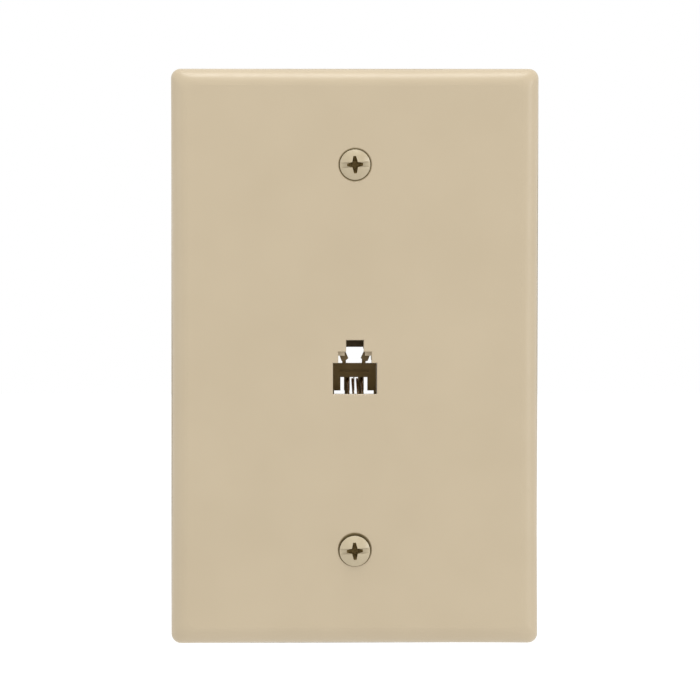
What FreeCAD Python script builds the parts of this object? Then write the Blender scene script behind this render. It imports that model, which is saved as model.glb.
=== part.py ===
import FreeCAD, Part
import math
import os

# Mid-size telephone wall plate with one modular jack, as an assembly of separate pieces.
# Frame: origin at the plate's centre on the wall plane, +Z up, +Y into the wall, +X to the
# right for someone facing the plate. Lengths are millimetres and angles are degrees.

# Wall plate
PLATE_WIDTH = 79.5
PLATE_HEIGHT = 124.6
PLATE_DEPTH = 6.5
SIDE_DRAW = 0.25  # how far the moulded long sides sink inwards at mid-height
END_DRAW = 0.15  # the same for the two short ends
CORNER_RADIUS = 2.1
ROUNDOVER = 3.5
ROUNDOVER_STEPS = 8  # outlines that the rounded front edge is drawn through
WALL = 2.2
INNER_CORNER_RADIUS = 1.5
INNER_FILLET = 1.3
STIFFENER_THICKNESS = 1.0
STIFFENER_HEIGHT = 1.2
STIFFENER_X = 31.0
STIFFENER_Z = 52.5

# Mounting screws: two number 6 oval heads, 82 degree countersink, at the standard spacing
SCREW_SPACING = 83.3
COUNTERSINK_ANGLE = 82.0
COUNTERSINK_MARGIN = 0.45  # beyond the head's rim, all round
CLEARANCE_HOLE = 4.5
HEAD_DIAMETER = 6.6
HEAD_LAND = 0.12
HEAD_CROWN = 0.95
NECK_DIAMETER = 2.8
THREAD_DIAMETER = 3.5
SCREW_LENGTH = 19.05
SEAT_GAP = 0.32
LOWER_SCREW_DROP = 0.31
RECESS_SPAN = 3.75
RECESS_ARM = 0.95
RECESS_DEPTH = 1.9
HEAD_SLOT_WIDTH = 1.15
HEAD_SLOT_DEPTH = 0.9
RECESS_TURN = 2.4

# Retaining washer on each mounting screw, and the boss that it slides in
RETAINER_DIAMETER = 8.0
RETAINER_THICKNESS = 0.8
RETAINER_BORE_GAP = 0.05
RETAINER_END_GAP = 0.10
RETAINER_SIDE_GAP = 0.60
RETAINER_TRAVEL = 2.4
BOSS_WALL = 1.8
BOSS_FLOOR = 0.9
BOSS_RECESS = 0.1  # the bosses stop this far short of the wall plane

# Jack window in the plate: a main opening with two narrower steps above it
WINDOW_BOTTOM = -7.99
WINDOW_WIDTH = 9.5
WINDOW_HEIGHT = 6.77
STEP_WIDTH = 7.2
STEP_TOP = 9.21  # above the window's bottom
KEY_WIDTH = 3.8
KEY_TOP = 11.72  # above the window's bottom
WINDOW_CHAMFER = 0.15
LEDGE_INNER_X = 2.2
LEDGE_HEIGHT = 0.92
LEDGE_THICKNESS = 0.8

# Jack housing behind the window
CAVITY_GAP = 0.12  # the cavity is larger than the window by this on each side
CAVITY_DEPTH = 12.0  # from the plate's front face to the contact carrier
HOUSING_WALL = 1.85
HOUSING_ROOF = 1.4
FLOOR_DROP = 0.85  # the floor's top lies this far below the window's bottom
FLOOR_THICKNESS = 0.9
FLOOR_END_GAP = 0.2
REAR_BAR_DROP = 2.07  # the bar across the back hangs this far below the top of the key
LIP_WIDTH = 0.87
LIP_THICKNESS = 0.65
CATCH_OFFSET = 1.1
CATCH_THICKNESS = 2.0
EAR_LENGTH = 3.5
EAR_THICKNESS = 1.2
EAR_HEIGHT = 5.0
EAR_Z = -2.0
STAKE_DIAMETER = 2.0
STAKE_GAP = 0.1
STAKE_HEAD_DIAMETER = 3.4
STAKE_HEAD_HEIGHT = 0.7

# Contact carrier: comb wall at the back, plate under the contact tails
CARRIER_THICKNESS = 1.5
CARRIER_GAP = 0.04
BEAM_TOP = 6.09  # above the window's bottom
BEAM_HEIGHT = 3.04
COMB_LENGTH = 2.93
COMB_PITCH = 1.02
COMB_SLOTS = 6
COMB_SLOT_WIDTH = 0.79
LEG_WIDTH = 0.5
GROOVE_WIDTH = 6.5
GROOVE_HEIGHT = 0.5
GROOVE_DEPTH = 0.5
GROOVE_DROP = 1.27
POST_WIDTH = 0.8
POST_HEIGHT = 1.2
POST_X = 2.15
SLED_THICKNESS = 0.8
RIB_X = 1.55  # two ribs on the comb's back stand behind the outer wired slots
RIB_WIDTH = 0.9
RIB_THICKNESS = 0.35
RIB_DROP = 1.1  # below the comb's lower end

# Contacts: one bent wire each, split at the nose into a sprung arm and a fixed tail
WIRE_DIAMETER = 0.46
NOSE_RADIUS = 1.0
NOSE_GAP = 0.17  # between the nose and the back of the plate
TAIL_GAP = 0.12  # between the tails and the pieces above and below them
ARM_DROP_AT_COMB = 0.75  # the arm's centre lies this far below the top of the comb's slots
ARM_OVERRUN = 1.1  # how far the arm reaches into the comb
ARM_START_GAP = 0.06
CONTACTS = {"black": 1.5, "red": 0.5, "green": -0.5, "yellow": -1.5}  # in comb pitches from centre

# Splices, where the tails meet the leads
SPLICE_PITCH = 2.1
SPLICE_DIAMETER = 1.9
SPLICE_LENGTH = 3.0
SPLICE_OFFSET = 0.5

# Leads
LEAD_DIAMETER = 1.35
LEAD_STAND_OFF = 2.2  # from the housing's side to the lead's centre
LEAD_LOOP = 4.6  # how far the loops reach behind the splices
BORE_GAP = 0.03

# Screw terminals
TERMINAL_X = 20.0
UPPER_TERMINAL_Z = 9.5
LOWER_TERMINAL_Z = -14.5
TERMINAL_BOSS_DIAMETER = 8.6
TERMINAL_BOSS_HEIGHT = 5.5
INSERT_DIAMETER = 5.0
INSERT_LENGTH = 4.5
INSERT_GAP = 0.02
TERMINAL_THREAD_DIAMETER = 3.5
TERMINAL_THREAD_GAP = 0.05
TERMINAL_SHANK = 5.5
TERMINAL_HEAD_DIAMETER = 6.2
TERMINAL_HEAD_HEIGHT = 2.0
TERMINAL_SLOT_WIDTH = 1.1
TERMINAL_SLOT_DEPTH = 1.0
WASHER_OVERHANG = 0.35
WASHER_THICKNESS = 0.8
STACK_GAP = 0.02

# Spade lugs
LUG_WIDTH = 6.2
LUG_THICKNESS = 0.6
LUG_SLOT_GAP = 0.15
LUG_NECK_WIDTH = 2.6
LUG_BARREL_DIAMETER = 2.2
LUG_BARREL_LENGTH = 3.2
LUG_BARREL_OFFSET = 4.4  # from the terminal's axis to the barrel's near end
LEAD_INSERTION = 1.8

# Planes and places that follow from the sizes above
FRONT = -PLATE_DEPTH
INNER = FRONT + WALL
BOSS_BACK = -BOSS_RECESS
BOSS_STOP = INNER + BOSS_FLOOR
CAVITY_REAR = FRONT + CAVITY_DEPTH
HOUSING_REAR = CAVITY_REAR + CARRIER_THICKNESS
CAVITY_HALF = WINDOW_WIDTH / 2 + CAVITY_GAP
HOUSING_HALF = CAVITY_HALF + HOUSING_WALL
FLOOR_TOP = WINDOW_BOTTOM - FLOOR_DROP
FLOOR_BOTTOM = FLOOR_TOP - FLOOR_THICKNESS
WIRE_RADIUS = WIRE_DIAMETER / 2
TAIL_Z = FLOOR_BOTTOM - TAIL_GAP - WIRE_RADIUS
SLED_TOP = TAIL_Z - WIRE_RADIUS - CARRIER_GAP
SLED_BOTTOM = SLED_TOP - SLED_THICKNESS
LIP_TOP = SLED_BOTTOM - CARRIER_GAP
HOUSING_BOTTOM = LIP_TOP - LIP_THICKNESS
ROOF = WINDOW_BOTTOM + KEY_TOP + CAVITY_GAP
HOUSING_TOP = ROOF + HOUSING_ROOF
NOSE_Y = INNER + NOSE_GAP + WIRE_RADIUS + NOSE_RADIUS
NOSE_Z = TAIL_Z + NOSE_RADIUS
BEAM_TOP_Z = WINDOW_BOTTOM + BEAM_TOP
COMB_TOP_Z = BEAM_TOP_Z - BEAM_HEIGHT
COMB_BOTTOM_Z = COMB_TOP_Z - COMB_LENGTH
SPLICE_START = HOUSING_REAR + SPLICE_OFFSET
SPLICE_END = SPLICE_START + SPLICE_LENGTH
TERMINAL_TOP = INNER + TERMINAL_BOSS_HEIGHT
LUG_TOP = TERMINAL_TOP + LUG_THICKNESS
WASHER_BASE = LUG_TOP + STACK_GAP
TERMINAL_HEAD_BASE = WASHER_BASE + WASHER_THICKNESS + STACK_GAP
LUG_BARREL_Y = LUG_TOP - LUG_THICKNESS / 2 + LUG_BARREL_DIAMETER / 2 - LUG_THICKNESS / 2
SLOPE = math.tan(math.radians(COUNTERSINK_ANGLE / 2))


def vector(x, y, z):
    return FreeCAD.Vector(x, y, z)


def block(x0, x1, y0, y1, z0, z1):
    """Box between two corners."""
    return Part.makeBox(x1 - x0, y1 - y0, z1 - z0, vector(x0, y0, z0))


def rod(radius, y0, y1, x=0.0, z=0.0):
    """Cylinder along +Y."""
    return Part.makeCylinder(radius, y1 - y0, vector(x, y0, z), vector(0, 1, 0))


def taper(radius0, radius1, y0, y1, x=0.0, z=0.0):
    """Cone along +Y, from radius0 at y0 to radius1 at y1."""
    return Part.makeCone(radius0, radius1, y1 - y0, vector(x, y0, z), vector(0, 1, 0))


def prism(outline, y0, y1):
    """Polygon in the X-Z plane, extruded along +Y."""
    points = [vector(x, y0, z) for x, z in outline]
    face = Part.Face(Part.makePolygon(points + points[:1]))
    return face.extrude(vector(0, y1 - y0, 0))


def mirrored(outline):
    """The same polygon on the other side of the plane x = 0."""
    return [(-x, z) for x, z in reversed(outline)]


def route_edges(points):
    """Straight runs joined by tangent arcs, each arc as large as its two runs allow."""
    edges = []
    radii = []
    start = points[0]
    for before, corner, after in zip(points, points[1:], points[2:]):
        towards = (corner - before).normalize()
        away = (after - corner).normalize()
        turn = towards.getAngle(away)
        reach = 0.45 * min((corner - before).Length, (after - corner).Length)
        radii.append(reach / math.tan(turn / 2))
        arc_start = corner - towards * reach
        arc_end = corner + away * reach
        middle = (away - towards).normalize()
        inset = radii[-1] / math.cos(turn / 2) - radii[-1]
        edges.append(Part.LineSegment(start, arc_start).toShape())
        edges.append(Part.Arc(arc_start, corner + middle * inset, arc_end).toShape())
        start = arc_end
    edges.append(Part.LineSegment(start, points[-1]).toShape())
    return edges, radii


def tube(edges, radius, start, direction):
    """Round bar along a chain of edges that begins at start and points in direction."""
    path = Part.Wire(edges)
    section = Part.Wire([Part.makeCircle(radius, start, direction)])
    bar = path.makePipeShell([section], True, True)
    expected = math.pi * radius**2 * path.Length
    share = bar.Volume / expected
    print(f"tube of {path.Length:.2f} mm, volume is {share:.4f} of section times length")
    return bar


def outline_block(width, height, side_draw, end_draw, y0, y1):
    """Rectangular block whose four sides bow slightly inwards."""
    x = width / 2
    z = height / 2
    corners = [vector(x, y0, -z), vector(x, y0, z), vector(-x, y0, z), vector(-x, y0, -z)]
    middles = [
        vector(x - side_draw, y0, 0),
        vector(0, y0, z - end_draw),
        vector(side_draw - x, y0, 0),
        vector(0, y0, end_draw - z),
    ]
    edges = []
    for i, middle in enumerate(middles):
        edges.append(Part.Arc(corners[i], middle, corners[(i + 1) % 4]).toShape())
    return Part.Face(Part.Wire(edges)).extrude(vector(0, y1 - y0, 0))


def filleted_block(width, height, corner, y0, y1):
    """Bowed block with rounded upright corners."""
    solid = outline_block(width, height, SIDE_DRAW, END_DRAW, y0, y1)
    uprights = [e for e in solid.Edges if abs(e.tangentAt(e.FirstParameter).y) > 0.99]
    return solid.makeFillet(corner, uprights)


def cushion_block(width, height, corner, roundover, y0, y1):
    """Bowed block whose front edge rounds over by more than its corner radius, so the corners
    look mitred: one corner radius runs through every outline of the rounded edge.
    """
    outlines = []
    for step in range(ROUNDOVER_STEPS + 1):
        angle = math.pi / 2 * step / ROUNDOVER_STEPS
        inset = roundover * (1 - math.cos(angle))
        y = y0 + roundover * (1 - math.sin(angle))
        slab = filleted_block(width - 2 * inset, height - 2 * inset, corner, y, y + 1)
        front = [f for f in slab.Faces if f.BoundBox.YMax < y + 0.001][0]
        outlines.append(front.OuterWire)
    cushion = Part.makeLoft(outlines, True)
    return cushion.fuse(filleted_block(width, height, corner, y0 + roundover, y1)).removeSplitter()


def hollow_block(width, height, corner, fillet, y0, y1):
    """Bowed block with rounded corners and a fillet all round its front."""
    solid = filleted_block(width, height, corner, y0, y1)
    rim = [e for e in solid.Edges if e.BoundBox.YMax < y0 + 0.001]
    return solid.makeFillet(fillet, rim)


def window_outline(gap=0.0):
    """The stepped keyhole of the jack, grown by a gap on every side."""
    main = WINDOW_WIDTH / 2 + gap
    step = STEP_WIDTH / 2 + gap
    key = KEY_WIDTH / 2 + gap
    low = WINDOW_BOTTOM - gap
    shoulder = WINDOW_BOTTOM + WINDOW_HEIGHT + gap
    step_top = WINDOW_BOTTOM + STEP_TOP + gap
    key_top = WINDOW_BOTTOM + KEY_TOP + gap
    right = [(main, low), (main, shoulder), (step, shoulder), (step, step_top)]
    right += [(key, step_top), (key, key_top)]
    return right + mirrored(right)


def cut_window(plate):
    """Cuts the jack window, breaks its front edge and leaves the two small ledges."""
    opening = prism(window_outline(), FRONT - 1, INNER + 1)
    plate = plate.cut(opening)
    rim = [e for e in plate.Edges if on_window_rim(e)]
    plate = plate.makeChamfer(WINDOW_CHAMFER, rim)
    ledge_top = WINDOW_BOTTOM + STEP_TOP
    for side in (-1, 1):
        x0, x1 = sorted((side * LEDGE_INNER_X, side * STEP_WIDTH / 2))
        y0 = INNER - LEDGE_THICKNESS
        plate = plate.fuse(block(x0, x1, y0, INNER, ledge_top - LEDGE_HEIGHT, ledge_top))
    return plate


def on_window_rim(edge):
    """Whether an edge lies on the front face around the jack window."""
    box = edge.BoundBox
    flat = box.YMax < FRONT + 0.001
    across = max(abs(box.XMin), abs(box.XMax)) < WINDOW_WIDTH / 2 + 0.01
    upright = box.ZMin > WINDOW_BOTTOM - 0.01 and box.ZMax < WINDOW_BOTTOM + KEY_TOP + 0.01
    return flat and across and upright


def screw_boss(z):
    """Boss behind a mounting hole, open at the back, where the retaining washer slides."""
    outer = RETAINER_DIAMETER / 2 + RETAINER_SIDE_GAP + BOSS_WALL
    return rod(outer, INNER - 0.5, BOSS_BACK, 0, z)


def screw_hole(z):
    """Countersink, clearance hole and washer pocket of one mounting screw."""
    mouth = HEAD_DIAMETER / 2 + COUNTERSINK_MARGIN
    hole = CLEARANCE_HOLE / 2
    depth = (mouth - hole) / SLOPE
    pocket = RETAINER_DIAMETER / 2 + RETAINER_SIDE_GAP
    cutter = taper(mouth + SLOPE, hole, FRONT - 1, FRONT + depth, 0, z)
    cutter = cutter.fuse(rod(hole, FRONT + depth - 0.01, BOSS_STOP + 0.5, 0, z))
    return cutter.fuse(rod(pocket, BOSS_STOP, BOSS_BACK + 1, 0, z))


def terminal_places():
    """Wire colour, x and z of each screw terminal."""
    return [
        ("black", TERMINAL_X, LOWER_TERMINAL_Z),
        ("red", TERMINAL_X, UPPER_TERMINAL_Z),
        ("green", -TERMINAL_X, UPPER_TERMINAL_Z),
        ("yellow", -TERMINAL_X, LOWER_TERMINAL_Z),
    ]


def terminal_boss(x, z):
    """Round boss with a blind pocket for the threaded insert."""
    boss = rod(TERMINAL_BOSS_DIAMETER / 2, INNER - 0.5, TERMINAL_TOP, x, z)
    pocket_base = TERMINAL_TOP - INSERT_LENGTH
    return boss.cut(rod(INSERT_DIAMETER / 2 + INSERT_GAP, pocket_base, TERMINAL_TOP + 1, x, z))


def stake(side):
    """Post of the plate through a housing ear, with its melted head."""
    x = side * (HOUSING_HALF + EAR_LENGTH / 2)
    ear_back = INNER + EAR_THICKNESS
    post = rod(STAKE_DIAMETER / 2, INNER - 0.5, ear_back + STAKE_GAP + 0.2, x, EAR_Z)
    head_base = ear_back + CARRIER_GAP
    head = taper(
        STAKE_HEAD_DIAMETER / 2, STAKE_DIAMETER / 2, head_base, head_base + STAKE_HEAD_HEIGHT, x, EAR_Z
    )
    return post.fuse(head)


def stiffeners():
    """Low ribs across the inside of the front wall."""
    half_x = PLATE_WIDTH / 2 - WALL
    half_z = PLATE_HEIGHT / 2 - WALL
    half_rib = STIFFENER_THICKNESS / 2
    y1 = INNER + STIFFENER_HEIGHT
    ribs = []
    for side in (-1, 1):
        x = side * min(STIFFENER_X, half_x - 4 * STIFFENER_THICKNESS)
        z = side * min(STIFFENER_Z, half_z - 4 * STIFFENER_THICKNESS)
        ribs.append(block(x - half_rib, x + half_rib, INNER - 0.5, y1, -half_z, half_z))
        ribs.append(block(-half_x, half_x, INNER - 0.5, y1, z - half_rib, z + half_rib))
    return ribs


def make_wall_plate():
    """Hollow moulded plate with its bosses, stakes, ribs and holes."""
    body = cushion_block(PLATE_WIDTH, PLATE_HEIGHT, CORNER_RADIUS, ROUNDOVER, FRONT, 0)
    hollow = hollow_block(
        PLATE_WIDTH - 2 * WALL, PLATE_HEIGHT - 2 * WALL, INNER_CORNER_RADIUS, INNER_FILLET, INNER, 1
    )
    plate = cut_window(body.cut(hollow))
    for rib in stiffeners():
        plate = plate.fuse(rib)
    for side in (-1, 1):
        z = side * SCREW_SPACING / 2
        plate = plate.fuse(screw_boss(z)).cut(screw_hole(z))
        plate = plate.fuse(stake(side))
    for _, x, z in terminal_places():
        plate = plate.fuse(terminal_boss(x, z))
    return plate.removeSplitter()


def catch_outline():
    """One latch catch as seen from the front: a slanted wedge that hangs from the housing's wall."""
    inner = KEY_WIDTH / 2
    outer = STEP_WIDTH / 2 + CAVITY_GAP
    top = WINDOW_BOTTOM + STEP_TOP + CAVITY_GAP
    floor = WINDOW_BOTTOM + WINDOW_HEIGHT
    root_z = top - LEDGE_HEIGHT - CAVITY_GAP
    slanted = [(inner + 0.2, top), (inner - 0.54, floor + 0.88), (inner - 0.1, floor + 0.5)]
    slanted += [(inner + 0.55, floor + 0.2), (inner + 0.95, floor + 0.32)]
    return slanted + [(inner + 1.4, root_z), (outer, root_z), (outer, top)]


def make_ear(side):
    """Flange of the housing that lies on the plate, with a hole for the stake."""
    x0, x1 = sorted((side * (HOUSING_HALF - 0.5), side * (HOUSING_HALF + EAR_LENGTH)))
    z0 = EAR_Z - EAR_HEIGHT / 2
    ear = block(x0, x1, INNER, INNER + EAR_THICKNESS, z0, z0 + EAR_HEIGHT)
    hole_x = side * (HOUSING_HALF + EAR_LENGTH / 2)
    hole_radius = STAKE_DIAMETER / 2 + STAKE_GAP
    return ear.cut(rod(hole_radius, INNER - 1, INNER + EAR_THICKNESS + 1, hole_x, EAR_Z))


def make_jack_housing():
    """Box behind the window: stepped cavity, floor, carrier channel, ears and latch catches."""
    half = HOUSING_HALF
    rear = HOUSING_REAR
    shell = block(-half, half, INNER, rear, HOUSING_BOTTOM, HOUSING_TOP)
    cavity = prism(window_outline(CAVITY_GAP), INNER - 1, rear + 1)
    below = block(-CAVITY_HALF, CAVITY_HALF, INNER - 1, rear + 1, FLOOR_TOP, WINDOW_BOTTOM)
    cavity = cavity.fuse(below)
    bar_z = WINDOW_BOTTOM + KEY_TOP - REAR_BAR_DROP
    bar = block(-CAVITY_HALF, CAVITY_HALF, CAVITY_REAR, rear + 2, bar_z, HOUSING_TOP + 1)
    shell = shell.cut(cavity.cut(bar))
    channel_start = NOSE_Y + NOSE_RADIUS / 2
    channel = block(-CAVITY_HALF, CAVITY_HALF, channel_start, rear + 1, LIP_TOP, FLOOR_BOTTOM)
    floor_end = CAVITY_REAR - FLOOR_END_GAP
    behind_floor = block(-CAVITY_HALF, CAVITY_HALF, floor_end, rear + 1, LIP_TOP, FLOOR_TOP + 1)
    lip_half = CAVITY_HALF - LIP_WIDTH
    between_lips = block(-lip_half, lip_half, channel_start, rear + 1, HOUSING_BOTTOM - 1, LIP_TOP + 1)
    nose_half = COMB_PITCH * 2 + WIRE_DIAMETER
    pocket_end = channel_start + 0.01
    nose_pocket = block(-nose_half, nose_half, INNER - 1, pocket_end, SLED_BOTTOM, FLOOR_TOP + 0.01)
    for cutter in (channel, behind_floor, between_lips, nose_pocket):
        shell = shell.cut(cutter)
    catch_y = INNER + CATCH_OFFSET
    for outline in (catch_outline(), mirrored(catch_outline())):
        shell = shell.fuse(prism(outline, catch_y, catch_y + CATCH_THICKNESS))
    for side in (-1, 1):
        shell = shell.fuse(make_ear(side))
    return shell.removeSplitter()


def make_contact_carrier():
    """Comb wall that guides the contact arms, standing on the sled that backs the tails."""
    half = CAVITY_HALF - CARRIER_GAP
    y0 = CAVITY_REAR
    y1 = HOUSING_REAR
    wall = block(-half, half, y0, y1, SLED_BOTTOM, BEAM_TOP_Z)
    gap_half = half - LEG_WIDTH
    wall = wall.cut(block(-gap_half, gap_half, y0 - 1, y1 + 1, SLED_TOP, COMB_BOTTOM_Z))
    for i in range(COMB_SLOTS):
        x = (i - (COMB_SLOTS - 1) / 2) * COMB_PITCH
        x0 = x - COMB_SLOT_WIDTH / 2
        wall = wall.cut(block(x0, x0 + COMB_SLOT_WIDTH, y0 - 1, y1 + 1, COMB_BOTTOM_Z - 0.1, COMB_TOP_Z))
    groove_top = BEAM_TOP_Z - GROOVE_DROP
    groove_half = GROOVE_WIDTH / 2
    wall = wall.cut(
        block(-groove_half, groove_half, y0 - 1, y0 + GROOVE_DEPTH, groove_top - GROOVE_HEIGHT, groove_top)
    )
    sled_start = NOSE_Y + NOSE_RADIUS / 2 + CARRIER_GAP
    wall = wall.fuse(block(-half, half, sled_start, y1, SLED_BOTTOM, SLED_TOP))
    for side in (-1, 1):
        x0 = side * POST_X - POST_WIDTH / 2
        wall = wall.fuse(block(x0, x0 + POST_WIDTH, y0, y1, BEAM_TOP_Z - 0.1, BEAM_TOP_Z + POST_HEIGHT))
        x0 = side * RIB_X - RIB_WIDTH / 2
        rib_end = COMB_BOTTOM_Z - RIB_DROP
        wall = wall.fuse(block(x0, x0 + RIB_WIDTH, y1 - 0.01, y1 + RIB_THICKNESS, rib_end, BEAM_TOP_Z))
    return wall.removeSplitter()


def arm_angle():
    """Slope of a contact arm: the tangent of the nose that reaches the comb at its rest height."""
    run = CAVITY_REAR - NOSE_Y
    rise = COMB_TOP_Z - ARM_DROP_AT_COMB - NOSE_Z
    return math.atan2(rise, run) - math.asin(NOSE_RADIUS / math.hypot(run, rise))


def nose_top(x):
    """Point where the nose's bend ends and the straight arm begins, which is the arm's hinge."""
    angle = arm_angle()
    return vector(x, NOSE_Y - NOSE_RADIUS * math.sin(angle), NOSE_Z + NOSE_RADIUS * math.cos(angle))


def make_contact_arm(x):
    """Straight sprung wire from the nose up into the comb."""
    angle = arm_angle()
    along = vector(0, math.cos(angle), math.sin(angle))
    hinge = nose_top(x)
    length = (CAVITY_REAR + ARM_OVERRUN - hinge.y) / math.cos(angle)
    base = hinge + along * ARM_START_GAP
    return Part.makeCylinder(WIRE_RADIUS, length - ARM_START_GAP, base, along)


def make_contact_tail(x, splice_x):
    """The rest of the same wire: round the nose, back under the floor, spread into the splice."""
    angle = arm_angle()
    hinge = nose_top(x)
    foremost = vector(x, NOSE_Y - NOSE_RADIUS, NOSE_Z)
    under = vector(x, NOSE_Y, TAIL_Z)
    bend = Part.Arc(hinge, foremost, under).toShape()
    spread_start = CAVITY_REAR - 4.0
    points = [under, vector(x, spread_start, TAIL_Z), vector(splice_x, HOUSING_REAR - 0.6, TAIL_Z)]
    points.append(vector(splice_x, SPLICE_START + SPLICE_LENGTH / 2, TAIL_Z))
    edges, _ = route_edges(points)
    return tube([bend] + edges, WIRE_RADIUS, hinge, vector(0, -math.cos(angle), -math.sin(angle)))


def make_splice(x):
    """Crimped sleeve with a narrow bore for the contact's tail and a wide one for the lead."""
    middle = SPLICE_START + SPLICE_LENGTH / 2
    sleeve = rod(SPLICE_DIAMETER / 2, SPLICE_START, SPLICE_END, x, TAIL_Z)
    sleeve = sleeve.cut(rod(WIRE_RADIUS + BORE_GAP, SPLICE_START - 1, middle + 0.1, x, TAIL_Z))
    return sleeve.cut(rod(LEAD_DIAMETER / 2 + BORE_GAP, middle, SPLICE_END + 1, x, TAIL_Z))


def make_insert(x, z):
    """Brass insert of a screw terminal. Its thread is a plain bore."""
    y0 = TERMINAL_TOP - INSERT_LENGTH
    insert = rod(INSERT_DIAMETER / 2, y0, TERMINAL_TOP, x, z)
    bore = TERMINAL_THREAD_DIAMETER / 2 + TERMINAL_THREAD_GAP
    return insert.cut(rod(bore, y0 - 1, TERMINAL_TOP + 1, x, z))


def make_lug(side, z):
    """Spade lug: a fork that opens outwards, on a round barrel that points at the jack."""
    x = side * TERMINAL_X
    y0 = TERMINAL_TOP
    barrel_x = side * (TERMINAL_X - LUG_BARREL_OFFSET)
    slot = TERMINAL_THREAD_DIAMETER / 2 + LUG_SLOT_GAP
    fork = rod(LUG_WIDTH / 2, y0, LUG_TOP, x, z)
    neck_x0, neck_x1 = sorted((x, barrel_x - side * 0.4))
    fork = fork.fuse(block(neck_x0, neck_x1, y0, LUG_TOP, z - LUG_NECK_WIDTH / 2, z + LUG_NECK_WIDTH / 2))
    mouth_x0, mouth_x1 = sorted((x, x + side * LUG_WIDTH))
    fork = fork.cut(rod(slot, y0 - 1, LUG_TOP + 1, x, z))
    fork = fork.cut(block(mouth_x0, mouth_x1, y0 - 1, LUG_TOP + 1, z - slot, z + slot))
    inward = vector(-side, 0, 0)
    start = vector(barrel_x, LUG_BARREL_Y, z)
    barrel = Part.makeCylinder(LUG_BARREL_DIAMETER / 2, LUG_BARREL_LENGTH, start, inward)
    bore_start = start + inward * (LUG_BARREL_LENGTH - LEAD_INSERTION)
    bore = Part.makeCylinder(LEAD_DIAMETER / 2 + BORE_GAP, LUG_BARREL_LENGTH, bore_start, inward)
    return fork.fuse(barrel).cut(bore).removeSplitter()


def lead_points(side, terminal_z, splice_x):
    """Corners of a lead's route: in from the lug, back beside the housing, then forward into
    the splice from below, clear of the plug opening's line of sight.
    """
    lug_end = TERMINAL_X - LUG_BARREL_OFFSET - LUG_BARREL_LENGTH
    beside = HOUSING_HALF + LEAD_STAND_OFF
    back = SPLICE_END + LEAD_LOOP
    across = abs(splice_x)
    if terminal_z > TAIL_Z:
        loop = [
            (beside - 0.5, LUG_BARREL_Y + 2.2, terminal_z - 2.0),
            (beside - 0.3, LUG_BARREL_Y + 4.4, terminal_z - 5.4),
            (beside - 0.8, SPLICE_END - 1.0, terminal_z - 9.3),
            (beside - 1.4, back - 1.0, TAIL_Z + 3.4),
            (beside - 1.3, back + 1.6, TAIL_Z + 0.2),
            (across + 3.9, back + 1.9, TAIL_Z - 2.4),
            (across + 0.8, back - 0.2, TAIL_Z - 2.6),
            (across, back - 3.2, TAIL_Z),
        ]
    else:
        loop = [
            (beside - 0.2, LUG_BARREL_Y + 2.6, terminal_z - 0.5),
            (beside - 1.2, HOUSING_REAR + 2.2, terminal_z - 1.6),
            (beside - 2.0, back - 2.2, terminal_z - 1.6),
            (across + 1.8, back - 0.5, terminal_z + 1.1),
            (across + 0.5, back - 1.3, TAIL_Z - 1.2),
            (across, back - 3.2, TAIL_Z),
        ]
    points = [vector(side * (lug_end + LEAD_INSERTION), LUG_BARREL_Y, terminal_z)]
    points.append(vector(side * (lug_end - 1.5), LUG_BARREL_Y, terminal_z))
    points += [vector(side * x, y, z) for x, y, z in loop]
    return points + [vector(splice_x, SPLICE_START + SPLICE_LENGTH / 2, TAIL_Z)]


def make_lead(colour, side, terminal_z, splice_x):
    """Insulated lead from a lug to a splice."""
    points = lead_points(side, terminal_z, splice_x)
    edges, radii = route_edges(points)
    print(f"lead {colour} bend radii", " ".join(f"{radius:.1f}" for radius in radii))
    return tube(edges, LEAD_DIAMETER / 2, points[0], vector(-side, 0, 0))


def make_washer(x, z):
    """Square-edged washer held under a terminal screw's head."""
    outer = TERMINAL_HEAD_DIAMETER / 2 + WASHER_OVERHANG
    bore = TERMINAL_THREAD_DIAMETER / 2 + 2 * TERMINAL_THREAD_GAP
    washer = rod(outer, WASHER_BASE, WASHER_BASE + WASHER_THICKNESS, x, z)
    return washer.cut(rod(bore, WASHER_BASE - 1, WASHER_BASE + WASHER_THICKNESS + 1, x, z))


def make_terminal_screw(x, z):
    """Binding screw with a slotted pan head. Its thread is a plain shank."""
    base = TERMINAL_HEAD_BASE
    top = base + TERMINAL_HEAD_HEIGHT
    half = TERMINAL_HEAD_DIAMETER / 2
    head = rod(half, base, top, x, z)
    crown = [e for e in head.Edges if e.BoundBox.YMin > top - 0.001]
    head = head.makeFillet(TERMINAL_HEAD_HEIGHT / 4, crown)
    slot_half = TERMINAL_SLOT_WIDTH / 2
    slot_floor = top - TERMINAL_SLOT_DEPTH
    slot = block(x - half - 1, x + half + 1, slot_floor, top + 1, z - slot_half, z + slot_half)
    shank = rod(TERMINAL_THREAD_DIAMETER / 2, base - TERMINAL_SHANK, base + 0.1, x, z)
    return head.cut(slot).fuse(shank).removeSplitter()


def screw_offset(drop):
    """Depth of a seated head's rim: where its cone meets the countersink, lifted by the drop."""
    touching = FRONT + COUNTERSINK_MARGIN / SLOPE
    return touching - SEAT_GAP - drop / SLOPE


def retainer_base(drop):
    """Front face of the retaining washer while the screw is seated."""
    return BOSS_STOP + RETAINER_TRAVEL + screw_offset(drop) - screw_offset(0)


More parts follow.
